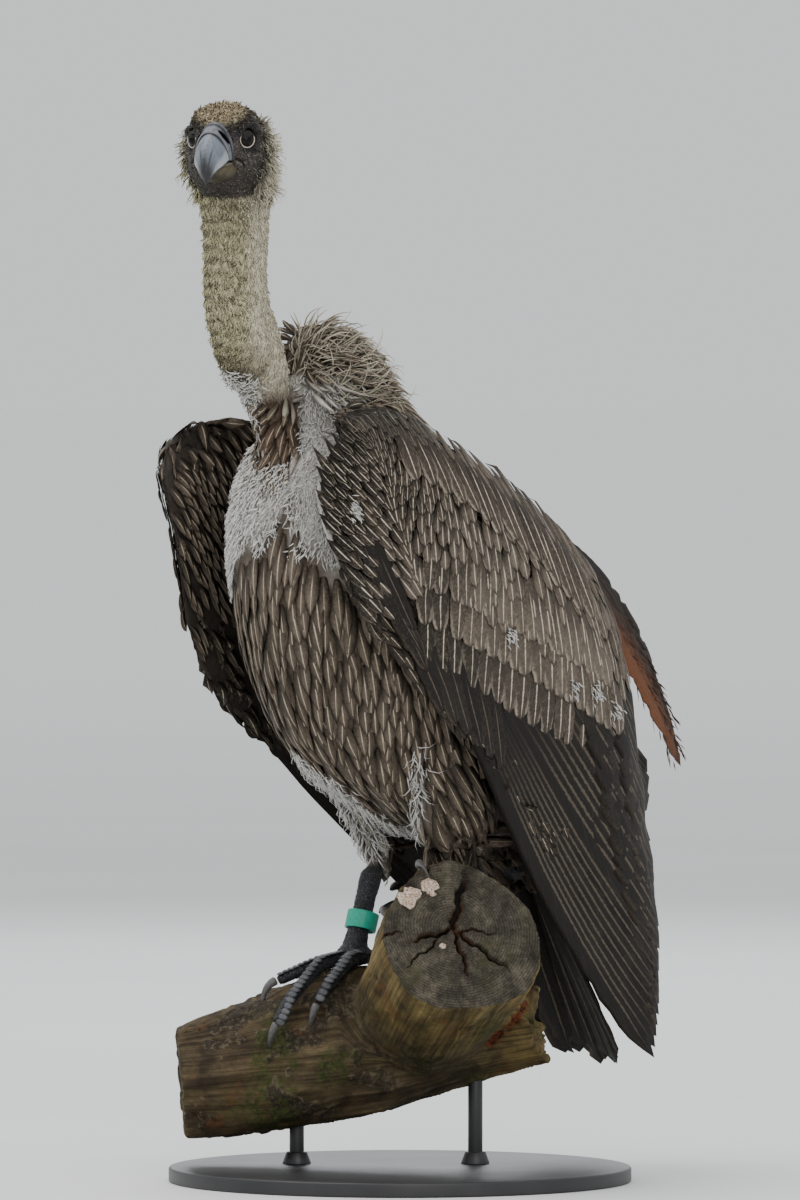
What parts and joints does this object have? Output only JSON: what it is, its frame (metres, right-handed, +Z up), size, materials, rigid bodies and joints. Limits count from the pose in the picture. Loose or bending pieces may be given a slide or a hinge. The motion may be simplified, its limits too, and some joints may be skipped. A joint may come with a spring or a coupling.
{
  "type": "vulture model on a perch",
  "caption": "Life-size white-backed vulture, wings folded, gripping a cut forked branch on a round display stand.",
  "frame": {"origin": "middle of the stand base's underside, on the floor", "axes": "+Z up, the bird's breast faces -Y and its left side is at +X"},
  "size_m": [0.38, 0.5346, 0.8802],
  "materials": {
    "face_skin": "dark grey-brown skin with sparse bristles",
    "cere_skin": "smooth blue-grey skin",
    "bill_horn": "satin blue-grey horn, darker at the tip",
    "eye": "wet, very dark brown",
    "neck_down": "short cream down over olive skin",
    "ruff_feathers": "long pale and brown feathers",
    "brown_feathers": "brown feathers with pale streaks",
    "wing_coverts": "grey-brown feathers with pale shafts and tips",
    "flight_feathers": "near-black feathers",
    "tail_feathers": "black worn feathers",
    "thigh_feathers": "loose brown and white feathers",
    "leg_scales": "dark grey scales",
    "claw_horn": "dark horn",
    "leg_ring": "plain green plastic",
    "weathered_wood": "barkless, weathered grey-brown, a little mossy",
    "stand_steel": "satin black"
  },
  "bodies": {
    "root": {"head": "face_skin", "cere": "cere_skin", "bill_upper": "bill_horn", "bill_lower": "bill_horn", "eye_left": "eye", "eye_right": "eye", "neck_upper": "neck_down", "neck_lower": "neck_down", "ruff": "ruff_feathers", "trunk": "brown_feathers", "wing_left_arm": "wing_coverts", "wing_left_flight": "flight_feathers", "wing_right_arm": "wing_coverts", "wing_right_flight": "flight_feathers", "tail": "tail_feathers", "thigh_left": "thigh_feathers", "thigh_right": "thigh_feathers", "leg_left": "leg_scales", "leg_right": "leg_scales", "claw_left_inner": "claw_horn", "claw_left_middle": "claw_horn", "claw_left_outer": "claw_horn", "claw_left_hind": "claw_horn", "claw_right_inner": "claw_horn", "claw_right_middle": "claw_horn", "claw_right_outer": "claw_horn", "claw_right_hind": "claw_horn", "leg_ring": "leg_ring", "perch_branch": "weathered_wood", "stand_base": "stand_steel", "stand_rod_1": "stand_steel", "stand_rod_2": "stand_steel"}
  },
  "joints": []
}
